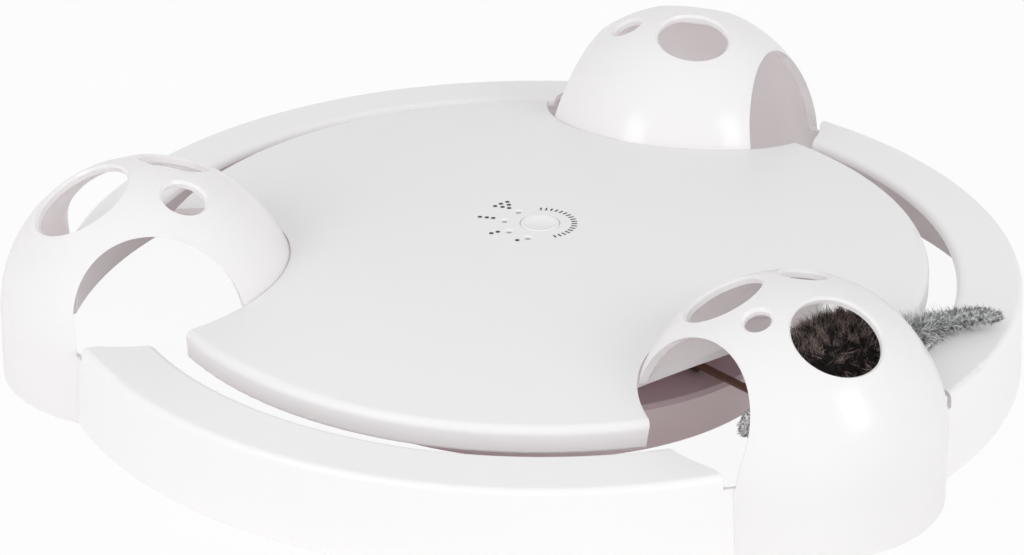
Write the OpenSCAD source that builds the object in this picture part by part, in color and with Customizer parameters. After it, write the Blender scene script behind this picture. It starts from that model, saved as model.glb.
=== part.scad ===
// Rotating cat toy: a soft mouse on a turning rod runs round a slot between a crowned platform and a low
// rim, through three round houses with holes. Origin on the floor at the turning axis, +Z up, millimetres.

/* [Rim] */
// Outside radius of the rim at the floor
rim_r = 182; // [180:0.5:188]
// How far the rim's outer wall leans in towards its top
rim_draft = 1; // [0.5:0.25:2]
// Height of the rim's top beside the slot
rim_h = 34; // [32:0.5:36]
// How far the rim's top falls towards its outer edge
rim_fall = 1.4; // [0.8:0.1:2]
// Width of the rim from the floor's edge to the running slot
rim_w = 25.5; // [24:0.5:27]
// Radius of the rounded outer top edge
rim_fillet = 2.5; // [2.5:0.25:5]
// Radius of the rounded edge that turns down into the running slot
rim_edge_r = 3.5; // [2.5:0.25:4]
// Thickness of the moulded rim
rim_wall = 2; // [1.5:0.1:2.2]
// Stiffening gussets under each rim length
rim_gussets = 5; // [2:1:7]

/* [Houses] */
// How far each house's upright axis stands inside the middle of the slot
house_inset = 4.75; // [3:0.25:6]
// Outside radius of a house, both its round wall and its half-ball roof
house_r = 56; // [54:0.5:58]
// Height where the half-ball roof starts
house_spring = 24; // [22:0.5:28]
// Wall thickness of a house
house_wall = 3; // [2:0.25:3.5]
// Half the width of the tunnel through a house
arch_r = 30.3; // [29:0.1:31]
// Height where the tunnel's round top starts
arch_spring = 37.3; // [36:0.1:39]
// Height of the low sill that closes a house outside the rim
sill_h = 27; // [25:0.5:30]
// Depth of the bevel round each hole
hole_bevel = 1.2; // [0.5:0.1:1.5]
// Distance of the straight edge of a house's floor inwards from its axis
floor_at = 33.5; // [32:0.5:36]

/* [Platform] */
// Width of the running slot between the platform and the rim
slot_w = 10.5; // [9.5:0.25:12]
// Height of the platform's top at its rounded edge
platform_edge_h = 38.5; // [38:0.25:39.5]
// Rise of the crowned top from edge to centre
crown_h = 11; // [10:0.5:13]
// Radius of the platform's rounded top edge
lip_r = 3.5; // [3.25:0.25:4.5]
// Height of the platform's upright edge
lip_h = 10.4; // [9.8:0.1:10.6]
// Thickness of the moulded platform
platform_wall = 3; // [2:0.25:3.5]
// Shadow gap between a house and its groove in the platform
house_gap = 0.6; // [0.3:0.1:1]

/* [Drum] */
// Radius of the drive drum at the floor
drum_foot_r = 96; // [92:0.5:97]
// How far the drive drum widens towards its top
drum_flare = 4; // [2:0.5:5]
// Thickness of the drum's wall and lid
drum_wall = 2; // [1.5:0.1:2.2]
// Height of the drum's floor above the table
floor_z = 1; // [0.8:0.1:1.2]
// Thickness of the drum's floor
floor_t = 1.8; // [1.5:0.1:2]

/* [Drive] */
// Outside radius of the hollow centre post
post_r = 10; // [9:0.25:10.5]
// Bore radius of the hollow centre post
post_bore_r = 7; // [5:0.25:7.5]
// Running clearance of turning pieces on their axles
run_fit = 0.05; // [0.03:0.01:0.08]
// Module of the last gear pair
drive_module = 0.8; // [0.75:0.05:0.9]
// Module of the first gear pair
motor_module = 0.6; // [0.55:0.05:0.6]
// Teeth on the drive gear
drive_teeth = 60; // [58:2:64]
// Teeth on the pinion of the double gear
double_pinion_teeth = 12; // [12:1:13]
// Teeth on the wheel of the double gear
double_wheel_teeth = 44; // [42:2:46]
// Teeth on the motor pinion
motor_teeth = 11; // [11:1:13]
// Play between meshing teeth
backlash = 0.16; // [0.1:0.02:0.24]
// Radius of the motor
motor_r = 9.5; // [8:0.25:10]
// Height of the motor
motor_h = 9.6; // [8:0.2:10]
// Radius of the gear's axle and the motor's shaft
axle_r = 1; // [0.75:0.05:1.2]

/* [Rod] */
// Radius of the steel rod
rod_r = 1.5; // [1:0.1:1.6]
// Height of the rod's middle above the drum
rod_rise = 3.6; // [3.4:0.1:4]
// Direction of the rod at rest, in degrees
rod_az = -49.5; // [-54:0.5:-46]
// Radius where the rod leaves its collar
rod_start_r = 88; // [86:1:92]
// Inside radius of the rod's upward bend
rod_bend = 6; // [4:0.5:8]

/* [Soft mouse] */
// Length of the mouse's body
mouse_l = 58; // [50:1:62]
// Width of the mouse's body
mouse_w = 34; // [28:1:35]
// Height of the mouse's body
mouse_h = 19; // [17:1:21]
// Clearance of the body above the platform's edge
mouse_lift = 2; // [1.75:0.25:3]
// Width of the felt tail at its root
tail_w = 10; // [8:0.5:12]
// Thickness of the felt tail at its root
tail_t = 7; // [5:0.5:8]
// Thickness of the felt strip that hangs in the slot
strip_t = 6; // [4:0.5:7]
// Height of the felt strip
strip_h = 10; // [7:0.5:11]

/* [Panel] */
// Radius of the push button
button_r = 7.4; // [6:0.2:8]
// Travel of the push button
button_travel = 1; // [0.5:0.1:1.2]
// How far the button's edge stands above the platform
button_rise = 0.3; // [0.2:0.1:1]
// Depth of the dish in the button
dish_depth = 1.3; // [0.8:0.1:1.6]
// Radius of the dimple round an indicator
dimple_r = 2.2; // [1.8:0.1:2.6]
// Depth of the dimple round an indicator
dimple_depth = 0.7; // [0.4:0.1:0.9]
// Radius of an indicator lens
lens_r = 0.9; // [0.7:0.1:1.2]
// Distance of the indicator lenses from the centre
lens_at = 13.5; // [13:0.25:15]

/* [Power] */
// Radius of a battery cell
cell_r = 7.15; // [6.9:0.05:7.3]
// Length of a battery cell
cell_l = 50; // [46:0.5:51]
// Clearance round the battery door
door_gap = 0.4; // [0.3:0.05:0.6]

/* [Hidden] */
$fn = 96;
eps = 0.01;
far = 400;

plastic = "#f2f2f0";
gear_plastic = "#dcd9cf";
steel = "#a9abad";
bronze = "#8a5a3a";
felt = "#b9b8b4";

// Direction of the back house; the left and front houses follow at a third of a turn
house_az = 66.6;
third = 120;
// Each hole: turn from the outward direction, height angle, and half-angle that it spans
back_holes = [[10, 61, 16.6], [-143.8, 73.7, 14.6], [115, 66, 6]];
left_holes = [[13, 62, 19.7], [-132.3, 72.4, 13.4], [127, 66.5, 8.5], [-70, 64, 4.8]];
front_holes = [[-4.5, 60.6, 17.3], [-139, 62.7, 15.2], [125, 75, 8.9], [-73.5, 66.1, 5]];

// Radii from the turning axis: the platform's edge, the slot's middle, the rim's edge and its top
rim_in_r = rim_r - rim_w;
slot_r = rim_in_r - slot_w / 2;
platform_r = rim_in_r - slot_w;
rim_top_r = rim_r - rim_draft;
house_at = slot_r - house_inset;

// The crowned top is part of one large ball that runs into a rounded edge
lip_at = platform_r - lip_r;
lip_z = platform_edge_h - lip_r;
crown_top = platform_edge_h + crown_h;
crown_r = (lip_at * lip_at + crown_h * crown_h) / (2 * crown_h);
platform_low = platform_edge_h - lip_h;
lip_low_r = 1;

// A house's inner wall stands in a shallow groove in the crown
groove_t = 1.2;
seat_gap = 0.1;

// The rim's square ends stand back from the tunnel, and its outer wall meets the house
rim_end = house_r - 4;
rim_edge_z = rim_h - rim_fall - rim_fillet;
function rim_inside(z) = rim_r - rim_wall - rim_draft * z / rim_edge_z;

// Levels in the drum, which is as high as the cells need
drum_top_r = drum_foot_r + drum_flare;
cell_play = 0.9;
cell_rest = 0.2;
floor_top = floor_z + floor_t;
lid_z = floor_top + 2 * cell_r + cell_play;
drum_h = lid_z + drum_wall;
rod_z = drum_h + rod_rise;

// Gear centres
drive_pitch = drive_module * drive_teeth / 2;
double_at = drive_pitch + drive_module * double_pinion_teeth / 2;
double_az = 60;
motor_step = motor_module * (double_wheel_teeth + motor_teeth) / 2;
motor_az = 45;
pressure = 20;

// Heights of the gears inside the drum
gear_play = 0.4;
flange_t = 2;
flange_r = post_r + 12;
post_screw_at = post_r + 8;
drive_gear_z = floor_top + flange_t + 1.2;
drive_gear_t = 4.5;
double_pinion_z = drive_gear_z - gear_play;
wheel_t = 2.2;
wheel_z = lid_z - gear_play - wheel_t;
motor_pinion_z = floor_top + motor_h + gear_play;

// The rotor runs between the drum's lid and the platform
run_gap = 1.4;
sleeve_r = post_r + 3.4;
sleeve_top = platform_low - run_gap;
washer_w = 7;
washer_t = 0.8;
washer_gap = 0.1;
arm_z = drum_h + washer_t + 2 * washer_gap;
arm_t = 3;
arm_disc_r = 36;
arm_w = 14;
collar_l = 10;
collar_r = min(3, rod_rise - 0.4);
clamp_l = 8;
rod_in_r = rod_start_r - collar_l;

// The panel under the crown
tray_r = 36;
tray_z = platform_low + 3.9;
tray_t = 2.4;
board_r = 26;
board_t = 1.6;
board_z = tray_z + tray_t + 2;
board_top = board_z + board_t;
button_gap = 0.2;
button_flange = 1.6;
button_flange_t = 1.2;
button_low = crown_top - platform_wall - button_flange_t - 0.6;
switch_side = 6;
switch_h = 3.2;
switch_stop = 0.3;
lens_azs = [127, 169, 211, 250];
lens_gap = 0.1;
lens_top = crown_top - lens_at * lens_at / (2 * crown_r) - dimple_depth;

// The battery bay lies towards the front of the drum
cells = 3;
cell_pitch = 2 * cell_r + 0.6;
contact_room = 4.5;
contact_t = 0.6;
bay_w = cell_l + 2 * contact_room;
bay_d = cells * cell_pitch + 2;
bay_wall = 1.6;
bay_clear = 5.1;
bay_y = -(drive_pitch + drive_module + bay_clear + bay_wall) - bay_d / 2;
door_w = bay_w - 2 * door_gap;
hinge_y = bay_y + bay_d / 2 - floor_t / 2 - door_gap;
hinge_z = floor_z + floor_t / 2;
hinge_pin_r = floor_t / 3;
hinge_pin_l = 3;
hinge_boss = 5;

foot_r = 6;
foot_at = drum_foot_r - 3 * foot_r;
foot_azs = [100, 220, 320];
screw_at = drum_foot_r - 10;
screw_azs = [30, 150, 200, 340];
screw_r = 1.2;
screw_head_r = 2.4;
screw_head_t = 1;
screw_seat = floor_z + screw_head_t;
screw_gap = 0.1;

mouse_z = platform_edge_h + mouse_lift;
mouse_mid = mouse_z + mouse_h / 2;
mouse_turn = 2.5;

module polar(r, az) { rotate(az) translate([r, 0, 0]) children(); }

module ring(r_out, r_in, h) {
    difference() {
        cylinder(r = r_out, h = h);
        translate([0, 0, -eps]) cylinder(r = r_in, h = h + 2 * eps);
    }
}

// Rim

// Outline of the rim, drawn in by an inset and let down below the floor by a spill
module rim_outline(inset, spill) {
    outer = [rim_top_r - rim_fillet, rim_edge_z];
    inner = [rim_in_r + rim_edge_r, rim_h - rim_edge_r];
    translate(outer) circle(rim_fillet - inset, $fn = 48);
    translate(inner) circle(rim_edge_r - inset, $fn = 48);
    polygon([
        [rim_in_r + inset, -spill], [rim_r - inset, -spill], [rim_top_r - inset, outer[1]], outer,
        [outer[0], rim_h - rim_fall - inset], [inner[0], rim_h - inset], inner,
        [rim_in_r + inset, inner[1]]
    ]);
}

// Section of the rim: a leaning outer wall, a sloping top and an inner edge turned down into the slot
module rim_section() {
    difference() {
        rim_outline(0, 0);
        rim_outline(rim_wall, 1);
        translate([rim_in_r - 1, -1]) square([rim_wall + 1 + eps, rim_h - rim_edge_r + 1]);
    }
}

// A thin triangle that props the top from the wall
module rim_gusset() {
    reach = rim_w - rim_draft - rim_edge_r - 2 * rim_wall;
    thick = rim_wall / 2;
    bite = rim_wall + rim_draft;
    translate([0, thick / 2, 0]) rotate([90, 0, 0]) linear_extrude(thick) intersection() {
        rim_outline(rim_wall / 2, 0);
        translate([rim_top_r - rim_wall, rim_h - rim_wall])
            polygon([[bite, bite], [-reach, bite], [-reach, 0], [0, -reach], [bite, -reach]]);
    }
}

// One of the three lengths between houses: its top ends square beside the tunnels, its wall at the houses
module rim_length(az) {
    gusset_step = 48 / rim_gussets;
    color(plastic) difference() {
        union() {
            rotate(az - third / 2) rotate_extrude(angle = third, $fn = 180) rim_section();
            for (i = [0 : rim_gussets - 1])
                rotate(az + (i - (rim_gussets - 1) / 2) * gusset_step) rim_gusset();
        }
        for (side = [-1, 1]) rotate(az + side * third / 2) {
            translate([house_at, 0, -1]) cylinder(r = house_r, h = rim_h + 2);
            translate([0, -rim_end, sill_h]) cube([rim_r + 1, 2 * rim_end, rim_h]);
        }
    }
}

module rim_front() { rim_length(house_az - third - third / 2); }
module rim_right() { rim_length(house_az - third / 2); }
module rim_left() { rim_length(house_az + third / 2); }

// Houses

module house_form(r) {
    cylinder(r = r, h = house_spring);
    translate([0, 0, house_spring]) sphere(r = r);
}

// The tunnel that the mouse runs through, curved along the slot
module tunnel() {
    span = 60;
    translate([-house_at, 0, 0]) rotate(-span / 2) rotate_extrude(angle = span) {
        translate([slot_r, arch_spring]) circle(arch_r);
        translate([slot_r - arch_r, sill_h]) square([2 * arch_r, arch_spring - sill_h]);
    }
}

module house_hole(hole) {
    half = house_r * sin(hole[2]);
    depth = house_r * cos(hole[2]);
    translate([0, 0, house_spring]) rotate([0, 90 - hole[1], hole[0]]) {
        cylinder(r = half, h = house_r + 1);
        translate([0, 0, depth - hole_bevel])
            cylinder(r1 = half, r2 = half + 2 * hole_bevel, h = 2 * hole_bevel);
    }
}

// A round house: its outer wall stands on the floor and its inner wall on the platform
module house(az, holes) {
    color(plastic) rotate(az) translate([house_at, 0, 0]) difference() {
        intersection() {
            house_form(house_r);
            cylinder(r = house_r + 1, h = house_spring + house_r + 1);
        }
        translate([0, 0, -eps]) house_form(house_r - house_wall);
        tunnel();
        for (hole = holes) house_hole(hole);
        translate([-house_at, 0, -eps])
            cylinder(r1 = rim_inside(0), r2 = rim_inside(sill_h), h = sill_h + 2 * eps);
        translate([-house_at, 0, 0]) crown(groove_t - seat_gap);
    }
}

module house_back() { house(house_az, back_holes); }
module house_left() { house(house_az + third, left_holes); }
module house_front() { house(house_az + 2 * third, front_holes); }

// Platform

module at_houses() {
    for (i = [0 : 2]) rotate(house_az + i * third) translate([house_at, 0, 0]) children();
}

// All below the crowned top, drawn in by an inset
module crown(inset) {
    rotate_extrude() intersection() {
        translate([0, crown_top - crown_r]) circle(crown_r - inset, $fn = 360);
        square([slot_r, crown_top]);
    }
}

module platform_blank() {
    intersection() {
        crown(0);
        translate([0, 0, platform_low]) cylinder(r = lip_at, h = crown_top);
    }
    rotate_extrude() {
        translate([lip_at, lip_z]) circle(lip_r, $fn = 48);
        translate([lip_at - eps, platform_low + lip_low_r])
            square([lip_r + eps, lip_h - lip_r - lip_low_r]);
        translate([lip_at - eps, platform_low]) square([lip_r - lip_low_r + eps, lip_low_r]);
        translate([platform_r - lip_low_r, platform_low + lip_low_r]) circle(lip_low_r, $fn = 24);
    }
}

// The groove for a house's inner wall, and the opening in front of the floor's straight edge
module house_seat() {
    difference() {
        house_form(house_r + house_gap);
        house_form(house_r - house_wall - house_gap);
        translate([-house_at, 0, 0]) crown(groove_t);
    }
    intersection() {
        house_form(house_r + house_gap);
        translate([-floor_at, -far / 2, 0]) cube([far, far, far]);
    }
}

module at_lenses() { for (az = lens_azs) polar(lens_at, az) children(); }

module platform() {
    dimple_ball = (dimple_r * dimple_r + dimple_depth * dimple_depth) / (2 * dimple_depth);
    color(plastic) difference() {
        platform_blank();
        intersection() {
            crown(platform_wall);
            cylinder(r = lip_at, h = crown_top);
        }
        at_houses() house_seat();
        cylinder(r = button_r + button_gap, h = far);
        at_lenses() {
            cylinder(r = lens_r + lens_gap, h = far);
            translate([0, 0, lens_top + dimple_ball]) sphere(r = dimple_ball);
        }
    }
}

// Panel

// The tray under the crown stands on the post, holds the board and carries the platform
module panel_tray() {
    socket_z = sleeve_top + 0.8;
    color(plastic) intersection() {
        union() {
            translate([0, 0, tray_z]) ring(tray_r, post_bore_r, tray_t);
            translate([0, 0, tray_z]) ring(tray_r, tray_r - tray_t, crown_top);
            translate([0, 0, socket_z]) ring(post_r + 3, post_r, tray_z - socket_z + eps);
            for (az = [90, 210, 330]) polar(board_r - 4, az)
                translate([0, 0, tray_z]) cylinder(r = 2.5, h = board_z - tray_z);
        }
        crown(platform_wall);
    }
}

module circuit_board() {
    color("#2f6b3a") translate([0, 0, board_z]) ring(board_r, switch_side / 2 - 0.4, board_t);
}

module button_switch() {
    stop = button_low - button_travel - switch_stop;
    color("#303236") {
        translate([-switch_side / 2, -switch_side / 2, board_top])
            cube([switch_side, switch_side, switch_h]);
        translate([0, 0, board_top]) cylinder(r = switch_side / 4, h = stop - board_top);
    }
}

// Light guides from the board to the dimples in the platform
module indicator_lenses() {
    color("#3c4247") at_lenses() translate([0, 0, board_top])
        cylinder(r = lens_r, h = lens_top - board_top, $fn = 32);
}

module push_button() {
    top = crown_top + button_rise;
    bevel = 0.4;
    dish_r = button_r - 2 * bevel;
    dish_ball = (dish_r * dish_r + dish_depth * dish_depth) / (2 * dish_depth);
    color(plastic) difference() {
        union() {
            translate([0, 0, button_low]) cylinder(r = button_r + button_flange, h = button_flange_t);
            translate([0, 0, button_low]) cylinder(r = button_r, h = top - button_low - bevel);
            translate([0, 0, top - bevel]) cylinder(r1 = button_r, r2 = button_r - bevel, h = bevel);
        }
        translate([0, 0, top + dish_ball - dish_depth]) sphere(r = dish_ball);
    }
}

// Drum

module at_case_screws() { for (az = screw_azs) polar(screw_at, az) children(); }

module at_post_screws() { for (az = screw_azs) polar(post_screw_at, az) children(); }

// Walls that hold the cells in place
module battery_bay() {
    bay_h = 2 * cell_r * 0.8;
    translate([0, bay_y, floor_z]) difference() {
        translate([-bay_w / 2 - bay_wall, -bay_d / 2 - bay_wall, 0])
            cube([bay_w + 2 * bay_wall, bay_d + 2 * bay_wall, floor_t + bay_h]);
        translate([-bay_w / 2, -bay_d / 2, -1]) cube([bay_w, bay_d, drum_h]);
    }
}

// Room for a screw whose head sinks into the drum's floor
module screw_hole() {
    cylinder(r = screw_r + screw_gap, h = far);
    cylinder(r = screw_head_r + screw_gap, h = screw_seat);
}

// The drum's floor and flared wall, with its screw posts, axle boss, battery bay and hinge bosses
module drum_pan() {
    color(plastic) difference() {
        union() {
            difference() {
                cylinder(r1 = drum_foot_r, r2 = drum_top_r, h = lid_z);
                translate([0, 0, floor_top]) cylinder(
                    r1 = drum_foot_r - drum_wall, r2 = drum_top_r - drum_wall, h = lid_z - floor_top + eps
                );
                translate([0, 0, -eps]) cylinder(r = drum_foot_r - drum_wall, h = floor_z + eps);
            }
            at_case_screws() translate([0, 0, floor_z]) cylinder(r = 4, h = lid_z - floor_z);
            polar(double_at, double_az)
                translate([0, 0, floor_z]) cylinder(r = 3, h = double_pinion_z - floor_z - gear_play);
            for (side = [-1, 1]) translate([side * (bay_w + hinge_boss) / 2, hinge_y, floor_top + 0.5])
                cube([hinge_boss, hinge_boss, hinge_boss / 2], center = true);
            battery_bay();
        }
        translate([-bay_w / 2, bay_y - bay_d / 2, -1]) cube([bay_w, bay_d, floor_top + 1]);
        translate([0, hinge_y, hinge_z]) rotate([0, 90, 0])
            cylinder(r = hinge_pin_r + run_fit, h = bay_w + 2 * hinge_pin_l + 1, center = true);
        at_case_screws() screw_hole();
        at_post_screws() screw_hole();
        polar(double_at, double_az) translate([0, 0, floor_top]) cylinder(r = axle_r, h = far);
    }
}

module drum_lid() {
    blind = drum_wall / 2;
    color(plastic) difference() {
        translate([0, 0, lid_z]) cylinder(r1 = drum_top_r, r2 = drum_top_r - 0.6, h = drum_wall);
        cylinder(r = sleeve_r + 0.8, h = far);
        polar(double_at, double_az) translate([0, 0, lid_z - 1]) cylinder(r = axle_r, h = 1 + blind);
        at_case_screws() translate([0, 0, lid_z - 1]) cylinder(r = screw_r + screw_gap, h = 1 + blind);
    }
}

module centre_post() {
    color(plastic) difference() {
        translate([0, 0, floor_top]) union() {
            cylinder(r = post_r, h = tray_z - floor_top);
            cylinder(r = flange_r, h = flange_t);
        }
        cylinder(r = post_bore_r, h = far);
        at_post_screws() cylinder(r = screw_r + screw_gap, h = far);
    }
}

// A screw that reaches up to a height, its head sunk into the drum's floor
module screw(reach) {
    translate([0, 0, floor_z]) {
        cylinder(r = screw_head_r, h = screw_head_t, $fn = 32);
        cylinder(r = screw_r, h = reach - floor_z, $fn = 32);
    }
}

module post_screws() { color(steel) at_post_screws() screw(floor_top + flange_t); }

module case_screws() { color(steel) at_case_screws() screw(lid_z + drum_wall / 4); }

module rubber_feet() {
    color("#3a3a3c") for (az = foot_azs) polar(foot_at, az) difference() {
        cylinder(r = foot_r, h = floor_z);
        translate([0, 0, -eps]) cylinder(r = foot_r / 2, h = floor_z / 2);
    }
}

// Drive

// Angle that an involute has rolled out at pressure angle a
function rolled(a) = tan(a) * 180 / PI - a;

// Half the angle that a tooth spans at radius r
function tooth_half(r, pitch_r, teeth) =
    90 / teeth - backlash / (4 * pitch_r) * 180 / PI
    + rolled(pressure) - rolled(acos(min(1, pitch_r * cos(pressure) / r)));

function on_circle(r, a) = r * [cos(a), sin(a)];

// Outline of a spur gear with involute flanks; one tooth points along +X
module gear_outline(teeth, mod) {
    pitch_r = teeth * mod / 2;
    root_r = pitch_r - 1.25 * mod;
    flank_r = max(root_r, pitch_r * cos(pressure));
    steps = 3;
    flank = [for (s = [0 : steps]) flank_r + (pitch_r + mod - flank_r) * s / steps];
    up = [for (r = flank) [r, tooth_half(r, pitch_r, teeth)]];
    half = concat([[root_r, up[0][1]]], up);
    last = len(half) - 1;
    polygon([for (k = [0 : teeth - 1]) let (mid = k * 360 / teeth) each concat(
        [for (p = half) on_circle(p[0], mid - p[1])],
        [for (i = [0 : last]) on_circle(half[last - i][0], mid + half[last - i][1])]
    )]);
}

module at_double_gear() { polar(double_at, double_az) rotate(-double_az) children(); }

module at_motor() { at_double_gear() polar(motor_step, motor_az) rotate(-motor_az) children(); }

module thrust_washer() {
    color(bronze) translate([0, 0, drum_h + washer_gap])
        ring(sleeve_r + 1 + washer_w, sleeve_r + 1, washer_t);
}

// The large gear inside the drum, on a sleeve that turns round the post
module drive_gear() {
    color(gear_plastic) difference() {
        translate([0, 0, drive_gear_z]) union() {
            rotate(double_az) linear_extrude(drive_gear_t) gear_outline(drive_teeth, drive_module);
            cylinder(r = sleeve_r, h = sleeve_top - drive_gear_z);
        }
        cylinder(r = post_r + run_fit, h = far);
    }
}

// The disc and spoke above the drum that carry the rod
module rotor_arm() {
    clamp_w = 2 * collar_r + 2.4;
    color(plastic) rotate(rod_az) difference() {
        translate([0, 0, arm_z]) union() {
            cylinder(r = arm_disc_r, h = arm_t);
            translate([0, -arm_w / 2, 0]) cube([rod_in_r, arm_w, arm_t]);
            translate([rod_in_r - clamp_l, -clamp_w / 2, 0]) cube([clamp_l, clamp_w, sleeve_top - arm_z]);
        }
        cylinder(r = sleeve_r, h = far);
        translate([rod_in_r - clamp_l + 2, 0, rod_z]) rotate([0, 90, 0]) cylinder(r = rod_r, h = far);
    }
}

module rod_collar() {
    color("#6f5a52") rotate(rod_az) translate([rod_in_r, 0, rod_z]) rotate([0, 90, 0])
        ring(collar_r, rod_r, collar_l);
}

// A straight radial rod that turns up through the slot into the mouse
module drive_rod() {
    turn_r = rod_bend + rod_r;
    start = rod_in_r - clamp_l + 2;
    color("#5a3d2c") rotate(rod_az) translate([0, 0, rod_z]) {
        translate([start, 0, 0]) rotate([0, 90, 0]) cylinder(r = rod_r, h = slot_r - turn_r - start);
        translate([slot_r - turn_r, 0, turn_r]) rotate([90, 0, 0]) rotate(-90)
            rotate_extrude(angle = 90) translate([turn_r, 0]) circle(rod_r);
        translate([slot_r, 0, turn_r]) cylinder(r = rod_r, h = mouse_mid - rod_z - turn_r);
    }
}

module gear_axle() {
    color(steel) polar(double_at, double_az) translate([0, 0, floor_top])
        cylinder(r = axle_r, h = lid_z + drum_wall / 4 - floor_top);
}

// A pinion in mesh with the drive gear and a wheel in mesh with the motor, in one moulding
module double_gear() {
    meshed = double_az + 180 + 180 / double_pinion_teeth;
    color(gear_plastic) at_double_gear() difference() {
        union() {
            translate([0, 0, double_pinion_z]) rotate(meshed)
                linear_extrude(wheel_z - double_pinion_z) gear_outline(double_pinion_teeth, drive_module);
            translate([0, 0, wheel_z]) rotate(motor_az)
                linear_extrude(wheel_t) gear_outline(double_wheel_teeth, motor_module);
        }
        cylinder(r = axle_r + run_fit, h = far);
    }
}

module motor() {
    nose_h = 1;
    color(steel) at_motor() difference() {
        translate([0, 0, floor_top]) union() {
            cylinder(r = motor_r, h = motor_h - nose_h);
            cylinder(r = motor_r / 3, h = motor_h);
        }
        translate([0, 0, floor_top + motor_h / 3]) cylinder(r = axle_r + run_fit, h = far);
    }
}

// The pinion and the shaft that it is pressed on
module motor_pinion() {
    meshed = motor_az + 180 + 180 / motor_teeth;
    shaft_z = floor_top + motor_h / 3 + 0.2;
    color(bronze) at_motor() {
        translate([0, 0, motor_pinion_z]) rotate(meshed)
            linear_extrude(lid_z - gear_play - motor_pinion_z) gear_outline(motor_teeth, motor_module);
        translate([0, 0, shaft_z]) cylinder(r = axle_r, h = motor_pinion_z + 1 - shaft_z);
    }
}

// Power

function cell_y(i) = bay_y + (i - (cells - 1) / 2) * cell_pitch;

module battery(i) {
    tip_l = 1;
    tip_r = 2.75;
    way = i % 2 == 0 ? 1 : -1;
    color("#c9a13b") translate([0, cell_y(i), floor_top + cell_rest + cell_r]) rotate([0, way * 90, 0])
        translate([0, 0, -cell_l / 2]) {
            cylinder(r = cell_r, h = cell_l - tip_l, $fn = 48);
            cylinder(r = tip_r, h = cell_l, $fn = 32);
        }
}

module battery_1() { battery(0); }
module battery_2() { battery(1); }
module battery_3() { battery(2); }

// Plates with round studs at both ends of the cells
module battery_contacts() {
    stud_l = contact_room - contact_t;
    color(steel) for (side = [-1, 1], i = [0 : cells - 1])
        translate([side * cell_l / 2, cell_y(i), floor_top + cell_rest + cell_r])
            rotate([0, side * 90, 0]) {
                cylinder(r = 3, h = stud_l + eps, $fn = 32);
                translate([-cell_r + 1, -cell_r + 0.5, stud_l])
                    cube([2 * cell_r - 2, 2 * cell_r - 1, contact_t]);
            }
}

// The door in the drum's floor turns down on two pins
module battery_door() {
    front_y = bay_y - bay_d / 2 + door_gap;
    color(plastic) {
        translate([-door_w / 2, front_y, floor_z]) cube([door_w, hinge_y - front_y, floor_t]);
        translate([0, hinge_y, hinge_z]) rotate([0, 90, 0]) {
            cylinder(r = floor_t / 2, h = door_w, center = true, $fn = 48);
            cylinder(r = hinge_pin_r, h = bay_w + 2 * hinge_pin_l, center = true, $fn = 48);
        }
    }
}

module wire_loom() {
    color("#b23a32") translate([0, 0, floor_top]) cylinder(r = 2.2, h = board_z - floor_top, $fn = 24);
}

// Soft mouse

// A closed body of oval section along points; sizes gives each ring's width and height
module swept(points, sizes, sides) {
    last = len(points) - 1;
    rings = [for (i = [0 : last]) let (
        along = points[min(i + 1, last)] - points[max(i - 1, 0)],
        across = [along[1], -along[0], 0] / norm([along[0], along[1]]),
        above = cross(across, along / norm(along))
    ) each [for (s = [0 : sides - 1]) let (a = s * 360 / sides)
        points[i] + across * sizes[i][0] / 2 * cos(a) + above * sizes[i][1] / 2 * sin(a)]];
    sheet = [for (i = [0 : last - 1], s = [0 : sides - 1]) let (
        a = i * sides + s,
        b = i * sides + (s + 1) % sides
    ) each [[a, b, b + sides], [a, b + sides, a + sides]]];
    end = last * sides;
    caps = [for (s = [1 : sides - 2]) each [[0, s + 1, s], [end, end + s, end + s + 1]]];
    polyhedron(rings, concat(sheet, caps));
}

// A point at a turn in degrees from the rod, counted against the way that the mouse runs
function beside_rod(r, turn, z) = concat(on_circle(r, rod_az + turn), [z]);

// Share of the full section at s, from the nose at -1 to the rump at 1: a pear that is fullest behind
function pear(s) = sqrt(1 - s * s) * (1 + 0.16 * s - 0.12 * s * s);

module mouse_form() {
    rings = 16;
    sag = 0.12;
    reach = mouse_l / 2 / slot_r * 180 / PI;
    spots = [for (i = [0 : rings]) -cos(2 + 176 * i / rings)];
    swept([for (s = spots) beside_rod(
            slot_r, mouse_turn + s * reach, mouse_mid - (1 - pear(s)) * mouse_h * sag
        )], [for (s = spots) pear(s) * [mouse_w, mouse_h]], 20);
}

module mouse_body() {
    color("#2e2c2b") difference() {
        mouse_form();
        polar(slot_r, rod_az) cylinder(r = rod_r + run_fit, h = mouse_mid + run_fit, $fn = 24);
    }
}

// A felt tail that trails over the rim: way out from the slot, turn, and height of its underside
module mouse_tail() {
    path = [
        [0, 8, 6.5], [0, 13, 5], [0.5, 18.5, 3], [2.5, 23, 1.2], [7, 26.6, 0.8], [13.5, 29, 1.4],
        [20, 30.2, 2], [26, 31, 2.2]
    ];
    taper = [1, 1, 1, 0.95, 0.85, 0.8, 0.7, 0.4];
    last = len(path) - 1;
    color(felt) difference() {
        swept([for (i = [0 : last]) let (p = path[i])
                beside_rod(slot_r + p[0], p[1], rim_h + p[2] + taper[i] * tail_t / 2)],
            [for (k = taper) k * [tail_w, tail_t]], 12);
        mouse_form();
    }
}

// A short felt strip that hangs from the mouse's front into the slot: turn and height at the edge
module mouse_strip() {
    path = [[-5.3, 6], [-7.8, 1.5], [-10.3, -3], [-12.4, -6.7], [-13.2, -8.5]];
    taper = [1, 1, 1, 0.85, 0.4];
    color(felt) difference() {
        swept([for (p = path) beside_rod(slot_r, p[0], platform_edge_h + p[1])],
            [for (k = taper) k * [strip_t, strip_h]], 12);
        mouse_form();
    }
}

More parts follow.
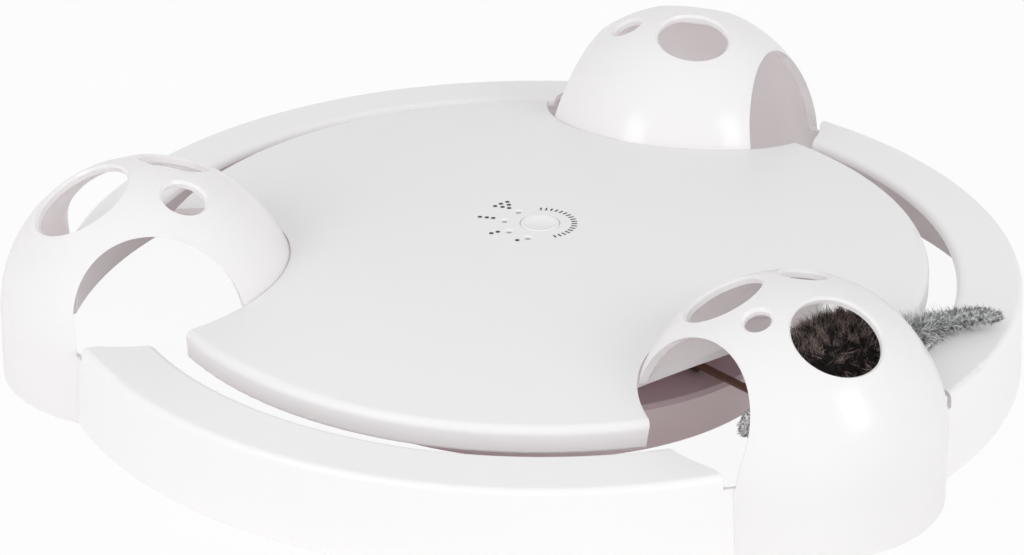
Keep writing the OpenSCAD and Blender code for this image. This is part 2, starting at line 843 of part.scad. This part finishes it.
rim_front();
rim_right();
rim_left();
house_back();
house_left();
house_front();
platform();
panel_tray();
circuit_board();
button_switch();
indicator_lenses();
push_button();
drum_pan();
drum_lid();
centre_post();
post_screws();
case_screws();
rubber_feet();
thrust_washer();
drive_gear();
rotor_arm();
rod_collar();
drive_rod();
gear_axle();
double_gear();
motor();
motor_pinion();
battery_1();
battery_2();
battery_3();
battery_contacts();
battery_door();
wire_loom();
mouse_body();
mouse_tail();
mouse_strip();
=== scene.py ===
"""Rotating cat toy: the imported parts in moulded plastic, with a fur mouse and felt trims.

It stands in a white studio with a wide fill and two soft lamps, seen from the photograph's angle.
"""

import math
from typing import NamedTuple

import bmesh
import bpy
import numpy as np
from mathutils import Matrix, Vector


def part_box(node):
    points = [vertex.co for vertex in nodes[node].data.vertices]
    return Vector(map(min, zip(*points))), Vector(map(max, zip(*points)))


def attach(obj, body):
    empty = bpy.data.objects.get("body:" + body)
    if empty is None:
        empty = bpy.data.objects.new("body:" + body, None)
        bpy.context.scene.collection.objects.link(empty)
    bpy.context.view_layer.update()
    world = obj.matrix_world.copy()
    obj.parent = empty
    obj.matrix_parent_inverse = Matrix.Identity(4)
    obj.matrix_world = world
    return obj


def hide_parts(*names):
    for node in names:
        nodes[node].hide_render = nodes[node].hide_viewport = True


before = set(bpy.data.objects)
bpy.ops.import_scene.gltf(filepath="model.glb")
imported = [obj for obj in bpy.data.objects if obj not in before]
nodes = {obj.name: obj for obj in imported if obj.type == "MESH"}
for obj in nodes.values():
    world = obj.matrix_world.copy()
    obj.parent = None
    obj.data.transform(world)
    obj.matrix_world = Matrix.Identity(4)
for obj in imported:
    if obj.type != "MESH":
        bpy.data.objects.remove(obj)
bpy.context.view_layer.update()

MM = 0.001
# Light passes several thin walls before it shows the insides of the houses
BOUNCES = 20

scene = bpy.context.scene
scene.view_settings.view_transform = "Standard"
scene.cycles.max_bounces = BOUNCES
scene.cycles.diffuse_bounces = BOUNCES
scene.cycles.glossy_bounces = BOUNCES
scene.cycles.transmission_bounces = BOUNCES


# Camera, at the photograph's viewing angle

CAMERA_LENS = 151.3
CAMERA_SENSOR = 36.0
CAMERA_AIM = Vector((-0.0105, 0.0, 0.0269))
CAMERA_DISTANCE = 1.6237
CAMERA_ELEVATION = 25.29


def make_camera():
    data = bpy.data.cameras.new("camera")
    data.lens = CAMERA_LENS
    data.sensor_width = CAMERA_SENSOR
    camera = bpy.data.objects.new("camera", data)
    rise = math.radians(CAMERA_ELEVATION)
    back = Vector((0, -math.cos(rise), math.sin(rise)))
    camera.location = CAMERA_AIM + back * CAMERA_DISTANCE
    camera.rotation_euler = (-back).to_track_quat("-Z", "Y").to_euler()
    scene.collection.objects.link(camera)
    scene.camera = camera


make_camera()


# Materials. Noise scales are in copies per metre.

NOISE_LOW, NOISE_HIGH = 0.3, 0.7  # the range that most of a noise falls in
FLOW_SCALE = 11.0
FLOW_DULL = 0.988
GLOSS_SCALE = 70.0
GLOSS_SPREAD = (0.97, 1.04)
GRAIN_SCALE = 2600.0
GRAIN_DEPTH = 0.05 * MM
BEVEL_SAMPLES = 6
PLASTIC_IOR = 1.5
THROUGH_TINT = (1.0, 0.95, 0.96)
BRUSH_STRETCH = (300.0, 300.0, 4.0)
BRUSH_SCALE = 6.0
BRUSH_DULL = 0.8
BRUSH_SPREAD = (0.8, 1.3)
FIBRE_ROUGHNESS = 0.85
FIBRE_SHEEN = 0.05
FIBRE_SHEEN_ROUGHNESS = 0.5
INK_WEAR_SCALE = 2200.0
INK_ROUGHNESS = (0.45, 0.65)
INK_FADE = 1.6
INK_PALE = 0.01


def new_material(name):
    material = bpy.data.materials.new(name)
    material.use_nodes = True
    tree = material.node_tree
    return material, tree, tree.nodes["Principled BSDF"]


def add(tree, kind, **values):
    """A new node; values name its settings, or its inputs with spaces written as underscores."""
    node = tree.nodes.new(kind)
    for key, value in values.items():
        socket = node.inputs.get(key.replace("_", " "))
        if socket is not None:
            socket.default_value = value
        else:
            setattr(node, key, value)
    return node


def place_noise(tree, scale, detail=2.0):
    """Noise over the object's own place."""
    coords = add(tree, "ShaderNodeTexCoord")
    noise = add(tree, "ShaderNodeTexNoise", Scale=scale, Detail=detail)
    tree.links.new(coords.outputs["Object"], noise.inputs["Vector"])
    return noise


def spread(tree, source, low, high):
    """A noise laid out from low to high."""
    node = add(
        tree, "ShaderNodeMapRange",
        From_Min=NOISE_LOW, From_Max=NOISE_HIGH, To_Min=low, To_Max=high,
    )
    tree.links.new(source, node.inputs["Value"])
    return node.outputs["Result"]


def ramp_between(tree, source, first, second, start, end):
    """A colour that runs from first, where the source is at start, to second, where it is at end."""
    ramp = add(tree, "ShaderNodeValToRGB")
    low, high = ramp.color_ramp.elements
    low.position = start
    low.color = (*first, 1)
    high.position = end
    high.color = (*second, 1)
    tree.links.new(source, ramp.inputs["Fac"])
    return ramp.outputs["Color"]


def two_tones(tree, source, first, second):
    """A noise laid out from one colour to another."""
    return ramp_between(tree, source, first, second, NOISE_LOW, NOISE_HIGH)


def moulded(name, colour, roughness, grain=0.05, edge=0.5 * MM, through=0.0):
    """Moulded plastic: faint flow shading, uneven gloss, a fine spark-eroded grain and softened edges.

    through is the share of light that passes each skin of a thin wall, which lights the shell inside.
    """
    material, tree, shader = new_material(name)
    links = tree.links
    flow = place_noise(tree, FLOW_SCALE)
    dull = tuple(c * FLOW_DULL for c in colour)
    links.new(two_tones(tree, flow.outputs["Fac"], dull, colour), shader.inputs["Base Color"])
    gloss = place_noise(tree, GLOSS_SCALE)
    smooth, rough = (roughness * share for share in GLOSS_SPREAD)
    links.new(spread(tree, gloss.outputs["Fac"], smooth, rough), shader.inputs["Roughness"])
    fine = place_noise(tree, GRAIN_SCALE)
    soft_edge = add(tree, "ShaderNodeBevel", samples=BEVEL_SAMPLES, Radius=edge)
    bump = add(tree, "ShaderNodeBump", Strength=grain, Distance=GRAIN_DEPTH)
    links.new(fine.outputs["Fac"], bump.inputs["Height"])
    links.new(soft_edge.outputs["Normal"], bump.inputs["Normal"])
    links.new(bump.outputs["Normal"], shader.inputs["Normal"])
    shader.inputs["IOR"].default_value = PLASTIC_IOR
    if through > 0:
        shell = add(tree, "ShaderNodeBsdfTranslucent", Color=(*THROUGH_TINT, 1))
        mix = add(tree, "ShaderNodeMixShader", Fac=through)
        links.new(shader.outputs["BSDF"], mix.inputs[1])
        links.new(shell.outputs["BSDF"], mix.inputs[2])
        links.new(mix.outputs["Shader"], tree.nodes["Material Output"].inputs["Surface"])
    return material


def metal(name, colour, roughness):
    """Metal with drawn lines along one axis."""
    material, tree, shader = new_material(name)
    links = tree.links
    coords = add(tree, "ShaderNodeTexCoord")
    stretch = add(tree, "ShaderNodeMapping", Scale=BRUSH_STRETCH)
    links.new(coords.outputs["Object"], stretch.inputs["Vector"])
    lines = add(tree, "ShaderNodeTexNoise", Scale=BRUSH_SCALE, Detail=3.0)
    links.new(stretch.outputs["Vector"], lines.inputs["Vector"])
    dull = tuple(c * BRUSH_DULL for c in colour)
    links.new(two_tones(tree, lines.outputs["Fac"], dull, colour), shader.inputs["Base Color"])
    smooth, rough = (roughness * share for share in BRUSH_SPREAD)
    links.new(spread(tree, lines.outputs["Fac"], smooth, rough), shader.inputs["Roughness"])
    shader.inputs["Metallic"].default_value = 1.0
    return material


def fibre(name, dark, light, start, fleck):
    """Strands whose shade runs from dark at the root to light at the tip, with flecks over the pile:
    partly the fibres' own lighter tips, partly painted shade deep in the pile.

    start is the shade, with the fleck added, at which they begin to lighten.
    """
    material, tree, shader = new_material(name)
    links = tree.links
    shade = add(tree, "ShaderNodeAttribute", attribute_name="shade")
    patches = place_noise(tree, fleck, detail=3.0)
    total = add(tree, "ShaderNodeMath", operation="ADD")
    links.new(patches.outputs["Fac"], total.inputs[0])
    links.new(shade.outputs["Fac"], total.inputs[1])
    colour = ramp_between(tree, total.outputs["Value"], dark, light, start, 1.0)
    links.new(colour, shader.inputs["Base Color"])
    shader.inputs["Roughness"].default_value = FIBRE_ROUGHNESS
    shader.inputs["Sheen Weight"].default_value = FIBRE_SHEEN
    shader.inputs["Sheen Roughness"].default_value = FIBRE_SHEEN_ROUGHNESS
    return material


def printed(name, colour):
    """Pad-printed ink: slightly uneven and matt."""
    material, tree, shader = new_material(name)
    links = tree.links
    wear = place_noise(tree, INK_WEAR_SCALE)
    pale = tuple(c * INK_FADE + INK_PALE for c in colour)
    links.new(two_tones(tree, wear.outputs["Fac"], colour, pale), shader.inputs["Base Color"])
    links.new(spread(tree, wear.outputs["Fac"], *INK_ROUGHNESS), shader.inputs["Roughness"])
    return material


HOUSE_WHITE = (0.985, 0.967, 0.971)
# The platform's white is duller than the houses': painted shade that darkens its broad top
PLATFORM_WHITE = (0.93, 0.896, 0.902)
RIM_WHITE = (0.952, 0.916, 0.923)
# Pink tint: painted shade colour for the pinkish shade the drum lies in under the platform; the same
# pink covers the tray, post, arm and door
DRUM_WHITE = (0.96, 0.835, 0.848)
# The lid is darker and more mauve than the drum: painted shade for the shadow it lies in under the
# platform
LID_PAINTED_SHADE = (0.72, 0.58, 0.62)
ACETAL = (0.70, 0.68, 0.61)
SCREW_STEEL = (0.50, 0.50, 0.51)
house_white = moulded("house_white", HOUSE_WHITE, 0.2, grain=0.03, edge=0.2 * MM, through=0.22)
platform_white = moulded("platform_white", PLATFORM_WHITE, 0.42, grain=0.08, edge=0.3 * MM)
rim_white = moulded("rim_white", RIM_WHITE, 0.34, edge=0.2 * MM)
drum_white = moulded("drum_white", DRUM_WHITE, 0.5, grain=0.12, edge=0.4 * MM)
cell_sleeve = moulded("cell_sleeve", (0.48, 0.30, 0.07), 0.3)
finishes = {
    "house_back": house_white,
    "house_left": house_white,
    "house_front": house_white,
    "rim_front": rim_white,
    "rim_right": rim_white,
    "rim_left": rim_white,
    "platform": platform_white,
    "push_button": platform_white,
    "panel_tray": drum_white,
    "drum_pan": drum_white,
    # darker mauve lid: painted shade under the platform
    "drum_lid": moulded("lid_painted_shade", LID_PAINTED_SHADE, 0.5, grain=0.12, edge=0.4 * MM),
    "centre_post": drum_white,
    "rotor_arm": drum_white,
    "battery_door": drum_white,
    "circuit_board": moulded("board_green", (0.05, 0.19, 0.08), 0.4),
    "button_switch": moulded("switch_black", (0.03, 0.03, 0.034), 0.45),
    "indicator_lenses": moulded("lens_smoked", (0.42, 0.42, 0.43), 0.25, grain=0.0, edge=0.2 * MM),
    "rubber_feet": moulded("foot_rubber", (0.035, 0.035, 0.037), 0.7, grain=0.3),
    "drive_gear": moulded("gear_acetal", ACETAL, 0.38),
    "double_gear": moulded("idler_acetal", ACETAL, 0.38),
    "rod_collar": moulded("collar_dark", (0.13, 0.085, 0.075), 0.5),
    "wire_loom": moulded("loom_sleeve", (0.42, 0.05, 0.04), 0.5),
    "battery_1": cell_sleeve,
    "battery_2": cell_sleeve,
    "battery_3": cell_sleeve,
    "drive_rod": moulded("rod_brown", (0.16, 0.078, 0.054), 0.36, grain=0.25),
    "thrust_washer": metal("washer_bronze", (0.55, 0.36, 0.18), 0.4),
    "motor_pinion": metal("pinion_bronze", (0.55, 0.40, 0.18), 0.32),
    "motor": metal("motor_steel", (0.52, 0.53, 0.54), 0.3),
    "gear_axle": metal("axle_steel", (0.60, 0.61, 0.62), 0.22),
    "post_screws": metal("screw_steel", SCREW_STEEL, 0.35),
    "case_screws": metal("case_screw_steel", SCREW_STEEL, 0.35),
    "battery_contacts": metal("contact_steel", (0.62, 0.62, 0.60), 0.28),
}
for name, material in finishes.items():
    mesh = nodes[name].data
    mesh.materials.clear()
    mesh.materials.append(material)


# Soft mouse

SMOOTH_FACTOR = 0.5
SMOOTH_STEPS = 6
TAIL_ROOT = np.array((138, -76, 40)) * MM  # where the tail comes out of the fur
FLARE_REACH = 16 * MM
# Turns a lock's place in the pile into a way for it to lean, scattered but always the same
COMB_MIX = np.array([[12.9, 3.1, 7.7], [78.2, 5.3, 2.9], [37.7, 9.1, 4.3]])
COMB_RATE = 1.7
STRAY = 0.28
LENGTH_SPREAD = (0.55, 1.1)
# Share of the length in the shortest locks, and what the tallest add
LOCK_SHORT, LOCK_RISE = 0.65, 0.5
TONE_SHAPE = (1.4, 2.0)  # of the beta draw that gives each strand its tone
# Tone of the shortest locks, and how it rises to the tallest: painted highlight on the tall locks,
# painted shade on the short ones between them
TONE_LOW, LOCK_HIGHLIGHT_RISE, TONE_POWER = 0.12, 1.5, 1.5
# Darker at the root and lighter at the tip: partly the fibres' own lighter tips, partly painted shade
# deep in the pile
ROOT_SHADE, TIP_RISE = 0.25, 0.75
SAG = np.array((0, 0, -0.18))
# A strand's rows from root to tip, with two points each before the tip
STRAND_STEPS = (0.0, 0.4, 0.75, 1.0)
STRAND_QUADS = ([[0, 1, 3, 2]], [[2, 3, 5, 4]])
STRAND_TIP = [[4, 5, 6]]
STRAND_CLIMB = np.array([0.0, 0.0, 0.35, 0.35, 0.7, 0.7, 1.0])


class Pile(NamedTuple):
    """Strands on a soft piece, in metres and in shares of a strand's length."""
    count: int
    length: float
    width: float
    lean: float  # how far a lock leans over
    curl: float
    lock: float  # width of a lock
    close: float  # how far a lock's tips close up
    under: float  # shade of the skin under the strands
    seed: int
    flare: float = 0.0  # how much longer the strands are at the tail's root


def soft_copy(node, name, voxel):
    """A new closed form that follows a CAD solid, smoothed."""
    piece = nodes[node].copy()
    piece.data = nodes[node].data.copy()
    piece.name = name
    piece.parent = None
    for key in list(piece.keys()):
        del piece[key]
    scene.collection.objects.link(piece)
    remesh = piece.modifiers.new("remesh", "REMESH")
    remesh.mode = "VOXEL"
    remesh.voxel_size = voxel
    smooth = piece.modifiers.new("smooth", "SMOOTH")
    smooth.factor = SMOOTH_FACTOR
    smooth.iterations = SMOOTH_STEPS
    graph = bpy.context.evaluated_depsgraph_get()
    made = bpy.data.meshes.new_from_object(piece.evaluated_get(graph))
    piece.modifiers.clear()
    piece.data = made
    made.name = name
    return piece


def unit(vectors):
    return vectors / np.linalg.norm(vectors, axis=1)[:, None]


def lock_means(which, vectors):
    """For each strand, the mean of its lock's vectors."""
    share = np.bincount(which)[which]
    return np.stack([np.bincount(which, vectors[:, k])[which] / share for k in range(3)], axis=1)


def grow(piece, pile, ground, material):
    """Covers a piece with strands: tapered blades that curl, differ in shade and close up into locks,
    with taller locks painted lighter as a painted highlight on the lock tops and painted shade between
    them.

    No strand goes below ground.
    """
    draw = np.random.default_rng(pile.seed)
    count = pile.count
    mesh = piece.data
    mesh.calc_loop_triangles()
    points = np.array([v.co for v in mesh.vertices])
    normals = np.array([v.normal for v in mesh.vertices])
    tris = np.array([t.vertices for t in mesh.loop_triangles])
    corner = points[tris]
    area = np.linalg.norm(np.cross(corner[:, 1] - corner[:, 0], corner[:, 2] - corner[:, 0]), axis=1)
    pick = draw.choice(len(tris), count, p=area / area.sum())
    mix = draw.dirichlet((1, 1, 1), count)
    root = np.einsum("ij,ijk->ik", mix, corner[pick])
    normal = unit(np.einsum("ij,ijk->ik", mix, normals[tris[pick]]))
    wild = draw.normal(0, 1, (count, 3))
    locks = np.round(root / pile.lock)
    comb = np.sin(locks @ COMB_MIX * COMB_RATE)
    way = unit(normal + wild * STRAY + comb * pile.lean)
    tall = 0.5 + 0.5 * comb[:, 1]
    long = pile.length * draw.uniform(*LENGTH_SPREAD, count) * (LOCK_SHORT + LOCK_RISE * tall)
    long *= 1 + pile.flare * np.exp(-((np.linalg.norm(root - TAIL_ROOT, axis=1) / FLARE_REACH) ** 2))
    which = np.unique(locks, axis=0, return_inverse=True)[1].ravel()
    stem = lock_means(which, root)
    aim = unit(lock_means(which, normal + comb * pile.lean))
    side = unit(np.cross(way, draw.normal(0, 1, (count, 3))))
    curl = draw.normal(0, pile.curl, (count, 3)) + SAG
    rows = []
    for s in STRAND_STEPS:
        mid = root + (way * s + curl * s * s) * long[:, None]
        mid += (stem + aim * s * long[:, None] - mid) * pile.close * s
        mid[:, 2] = np.maximum(mid[:, 2], ground)
        half = side * pile.width * (1 - s) * 0.5
        rows += [mid] if s == 1.0 else [mid - half, mid + half]
    strand = np.stack(rows, axis=1)
    base = np.arange(count)[:, None] * strand.shape[1] + len(points)
    quads = np.concatenate([base + np.array(q) for q in STRAND_QUADS])
    tips = base + np.array(STRAND_TIP)
    skin = [list(p.vertices) for p in mesh.polygons]
    made = bpy.data.meshes.new(mesh.name + "_fur")
    made.from_pydata(
        np.concatenate([points, strand.reshape(-1, 3)]).tolist(), [],
        skin + quads.tolist() + tips.tolist(),
    )
    # Taller locks get a lighter tone: painted highlight on the lock tops, painted shade in the gaps
    tone = draw.beta(*TONE_SHAPE, count) * (TONE_LOW + LOCK_HIGHLIGHT_RISE * tall ** TONE_POWER)
    # Each strand darkens towards its root: painted shade deep in the pile, over the fibres' own lighter
    # tips
    blades = tone[:, None] * (ROOT_SHADE + TIP_RISE * STRAND_CLIMB)
    shade = np.concatenate([np.full(len(points), pile.under), blades.ravel()])
    made.attributes.new("shade", "FLOAT", "POINT").data.foreach_set("value", shade.astype(np.float32))
    made.shade_smooth()
    made.materials.append(material)
    piece.data = made


FUR_DARK = (0.006, 0.0032, 0.0026)
FUR_LIGHT = (0.45, 0.35, 0.325)
FELT_DARK = (0.05, 0.05, 0.052)
FELT_LIGHT = (0.97, 0.965, 0.96)
fur = fibre("fur_dark", FUR_DARK, FUR_LIGHT, start=0.62, fleck=140.0)
felt = fibre("felt_grey", FELT_DARK, FELT_LIGHT, start=0.42, fleck=700.0)
MOUSE_PILE = Pile(
    count=26000, length=3.6 * MM, width=0.32 * MM, lean=0.8, curl=0.85,
    lock=2.5 * MM, close=0.5, under=0.0, seed=11,
)
TAIL_PILE = Pile(
    count=11000, length=1.5 * MM, width=0.42 * MM, lean=0.6, curl=0.9,
    lock=1.2 * MM, close=0.3, under=0.2, seed=23, flare=1.7,
)
STRIP_PILE = Pile(
    count=2600, length=1.3 * MM, width=0.5 * MM, lean=0.9, curl=0.5,
    lock=1.5 * MM, close=0.4, under=0.4, seed=37,
)
MOUSE_BELOW = 0.4 * MM  # how far the fur may hang below the mouse's solid
TAIL_ABOVE = 0.3 * MM  # how far the tail's pile stays above the rim

mouse_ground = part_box("mouse_body")[0].z - MOUSE_BELOW
tail_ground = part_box("rim_right")[1].z + TAIL_ABOVE
mouse = soft_copy("mouse_body", "mouse_fur", voxel=1.2 * MM)
grow(mouse, MOUSE_PILE, mouse_ground, fur)
tail = soft_copy("mouse_tail", "mouse_tail_felt", voxel=0.9 * MM)
grow(tail, TAIL_PILE, tail_ground, felt)
strip = soft_copy("mouse_strip", "mouse_strip_felt", voxel=0.7 * MM)
grow(strip, STRIP_PILE, 0.0, felt)
for piece, node, slot_name, fill in (
    (mouse, "mouse_body", "fur", 0.85),
    (tail, "mouse_tail", "felt", 0.6),
    (strip, "mouse_strip", "felt", 0.6),
):
    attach(piece, "rotor")
    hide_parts(node)


# Printed marks on the crown

INK_GREY = (0.022, 0.022, 0.024)
CROWN_TOP = 49.5 * MM
CROWN_R = 928.5 * MM
INK_LIFT = 0.05 * MM
INK_T = 0.06 * MM
DOT_R = 0.84 * MM
DOT_SIDE_TURN = 20
# Radius in millimetres and turn in degrees of each dot, in groups of one, two, three and six
DOTS = (
    (17.3, 240.4), (17.5, 205.7), (20.2, 205.6), (18.2, 164.6), (20.7, 164.6), (23.4, 164.7),
    (18.1, 129.8), (20.6, 124.5), (20.6, 133), (23.3, 121.7), (23.3, 129.1), (23.2, 136.6),
)
TICK_IN = 11.9 * MM
TICK_OUT = 14.0 * MM
TICK_W = 0.55 * MM
TICK_START = 88
TICK_TURN = 9
TICK_COUNT = 18
TICKS = [TICK_START - TICK_TURN * i for i in range(TICK_COUNT)]


def on_crown(r, az):
    """A point on the crowned top at a radius in metres and a turn in degrees."""
    a = math.radians(az)
    return Vector((r * math.cos(a), r * math.sin(a), CROWN_TOP - r * r / (2 * CROWN_R) + INK_LIFT))


def ink_piece(name, outlines):
    """Thin closed patches of ink, each from its outline."""
    shape = bmesh.new()
    for outline in outlines:
        face = shape.faces.new([shape.verts.new(p) for p in outline])
        raised = bmesh.ops.extrude_face_region(shape, geom=[face])
        moved = [v for v in raised["geom"] if isinstance(v, bmesh.types.BMVert)]
        bmesh.ops.translate(shape, verts=moved, vec=(0, 0, INK_T))
    bmesh.ops.recalc_face_normals(shape, faces=shape.faces)
    mesh = bpy.data.meshes.new(name)
    shape.to_mesh(mesh)
    shape.free()
    piece = bpy.data.objects.new(name, mesh)
    scene.collection.objects.link(piece)
    mesh.materials.append(ink)
    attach(piece, "base")


def dot(r, az):
    mid = on_crown(r * MM, az)
    around = [math.radians(a) for a in range(0, 360, DOT_SIDE_TURN)]
    return [mid + Vector((DOT_R * math.cos(a), DOT_R * math.sin(a), 0)) for a in around]


def tick(az):
    half_in = math.degrees(TICK_W / 2 / TICK_IN)
    half_out = math.degrees(TICK_W / 2 / TICK_OUT)
    return [
        on_crown(TICK_IN, az - half_in), on_crown(TICK_OUT, az - half_out),
        on_crown(TICK_OUT, az + half_out), on_crown(TICK_IN, az + half_in),
    ]


ink = printed("ink_grey", INK_GREY)
ink_piece("panel_dots", [dot(*d) for d in DOTS])
ink_piece("panel_ticks", [tick(az) for az in TICKS])


# Studio: slightly cyan light, which keeps the pinkish whites neutral outside and pink inside

LIGHT_COLOUR = (0.966, 1.0, 0.993)
FILL_HORIZON = 0.92
FILL_ZENITH = 0.63
FILL_LEAN = 0.3  # how much stronger the fill is from the camera's side, and weaker from behind
FLOOR_SIZE = 8.0
FLOOR_COLOUR = (0.862, 0.85, 0.853)
FLOOR_ROUGHNESS = 0.9
FLOOR_WHITE = 0.92
LAMP_RISE = 28
LAMP_DISTANCE = 1.4
LAMP_SIZE = (0.4, 0.6)


def camera_white(tree, strength):
    """A strength that holds only for rays that show the background."""
    path = add(tree, "ShaderNodeLightPath")
    seen = path.outputs["Is Camera Ray"]
    for name in ("Is Glossy Ray", "Is Transmission Ray"):
        either = add(tree, "ShaderNodeMath", operation="MAXIMUM")
        tree.links.new(seen, either.inputs[0])
        tree.links.new(path.outputs[name], either.inputs[1])
        seen = either.outputs["Value"]
    share = add(tree, "ShaderNodeMath", operation="MULTIPLY")
    share.inputs[1].default_value = strength
    tree.links.new(seen, share.inputs[0])
    return share.outputs["Value"]


def make_world():
    """A fill that falls from the horizon to the zenith and from front to back, shown as plain white."""
    world = bpy.data.worlds.new("studio")
    world.use_nodes = True
    tree = world.node_tree
    fill = tree.nodes["Background"]
    fill.inputs["Color"].default_value = (*LIGHT_COLOUR, 1)
    way = add(tree, "ShaderNodeSeparateXYZ")
    tree.links.new(add(tree, "ShaderNodeTexCoord").outputs["Generated"], way.inputs["Vector"])
    low = add(tree, "ShaderNodeMapRange", To_Min=FILL_HORIZON, To_Max=FILL_ZENITH)
    tree.links.new(way.outputs["Z"], low.inputs["Value"])
    front = add(tree, "ShaderNodeMapRange", From_Min=-1.0, To_Min=1 + FILL_LEAN, To_Max=1 - FILL_LEAN)
    tree.links.new(way.outputs["Y"], front.inputs["Value"])
    both = add(tree, "ShaderNodeMath", operation="MULTIPLY")
    tree.links.new(low.outputs["Result"], both.inputs[0])
    tree.links.new(front.outputs["Result"], both.inputs[1])
    tree.links.new(both.outputs["Value"], fill.inputs["Strength"])
    shown = add(tree, "ShaderNodeBackground", Color=(1, 1, 1, 1), Strength=1.0)
    mix = add(tree, "ShaderNodeMixShader")
    tree.links.new(camera_white(tree, 1.0), mix.inputs["Fac"])
    tree.links.new(fill.outputs["Background"], mix.inputs[1])
    tree.links.new(shown.outputs["Background"], mix.inputs[2])
    tree.links.new(mix.outputs["Shader"], tree.nodes["World Output"].inputs["Surface"])
    scene.world = world


def make_floor():
    """A wide floor that shows as nearly plain white and keeps a faint shadow."""
    bpy.ops.mesh.primitive_plane_add(size=FLOOR_SIZE)
    floor = bpy.context.object
    floor.name = "floor"
    material, tree, shader = new_material("floor_white")
    shader.inputs["Base Color"].default_value = (*FLOOR_COLOUR, 1)
    shader.inputs["Roughness"].default_value = FLOOR_ROUGHNESS
    shown = add(tree, "ShaderNodeEmission", Color=(1, 1, 1, 1), Strength=1.0)
    mix = add(tree, "ShaderNodeMixShader")
    tree.links.new(camera_white(tree, FLOOR_WHITE), mix.inputs["Fac"])
    tree.links.new(shader.outputs["BSDF"], mix.inputs[1])
    tree.links.new(shown.outputs["Emission"], mix.inputs[2])
    tree.links.new(mix.outputs["Shader"], tree.nodes["Material Output"].inputs["Surface"])
    floor.data.materials.append(material)


def softbox(name, turn, watts):
    """A lamp that faces the object, at a turn in degrees from the camera's side."""
    data = bpy.data.lights.new(name, "AREA")
    data.shape = "RECTANGLE"
    data.size, data.size_y = LAMP_SIZE
    data.energy = watts
    data.color = LIGHT_COLOUR
    lamp = bpy.data.objects.new(name, data)
    a, e = math.radians(turn), math.radians(LAMP_RISE)
    toward = Vector((math.sin(a) * math.cos(e), -math.cos(a) * math.cos(e), math.sin(e)))
    lamp.location = toward * LAMP_DISTANCE
    lamp.rotation_euler = (-toward).to_track_quat("-Z", "Y").to_euler()
    scene.collection.objects.link(lamp)


make_world()
make_floor()
softbox("key_left", turn=-48, watts=3.1)
softbox("key_right", turn=50, watts=2.8)
